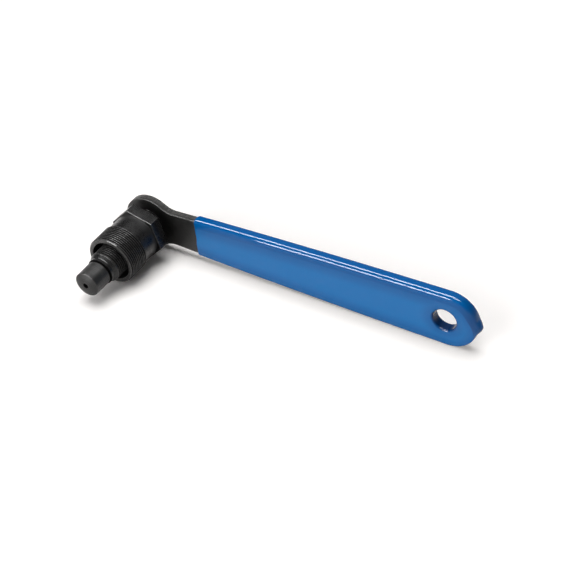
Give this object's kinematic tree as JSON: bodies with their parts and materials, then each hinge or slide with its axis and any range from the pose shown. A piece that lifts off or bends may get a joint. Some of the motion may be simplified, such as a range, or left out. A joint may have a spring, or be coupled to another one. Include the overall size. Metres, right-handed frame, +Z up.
{
  "type": "bicycle pedal crank puller",
  "caption": "Bicycle crank puller: hexagonal nut with an external thread, lever-turned pressure screw with a swivel tip, and a flat steel lever with a dipped vinyl grip.",
  "frame": {"origin": "on the floor under the middle of the lying tool's bounding box", "axes": "+X along the lever from the screw to the grip's end, -Y towards the swivel tip, +Z up as the tool lies; the screw axis dips about 3.3 degrees towards the tip"},
  "size_m": [0.1661, 0.0506, 0.0251],
  "materials": {
    "lever_steel": "black oxide, satin",
    "vinyl": "glossy dipped vinyl",
    "nut_steel": "black oxide, turned and milled",
    "screw_steel": "black oxide, threaded",
    "tip_steel": "black oxide, turned",
    "spring_steel": "bright spring steel"
  },
  "bodies": {
    "nut": {"puller_nut": "nut_steel"},
    "tip": {"swivel_tip": "tip_steel"},
    "screw": {"pressure_screw": "screw_steel", "lever": "lever_steel", "grip": "vinyl", "spring_ring": "spring_steel"}
  },
  "joints": [
    {"name": "tip_travel", "type": "slide", "parent": "nut", "child": "tip", "axis": [0, -0.9985, -0.0555], "range_m": [-0.018, 0.004]},
    {"name": "screw_turn", "type": "hinge", "parent": "tip", "child": "screw", "pos_m": [-0.07105, 0.02043, 0.01248], "axis": [0, -0.9985, -0.0555], "range_deg": [-6480, 1440]}
  ],
  "couplings": [
    {"joint": "tip_travel", "follows": "screw_turn", "m_per_rad": 0.00015915}
  ]
}
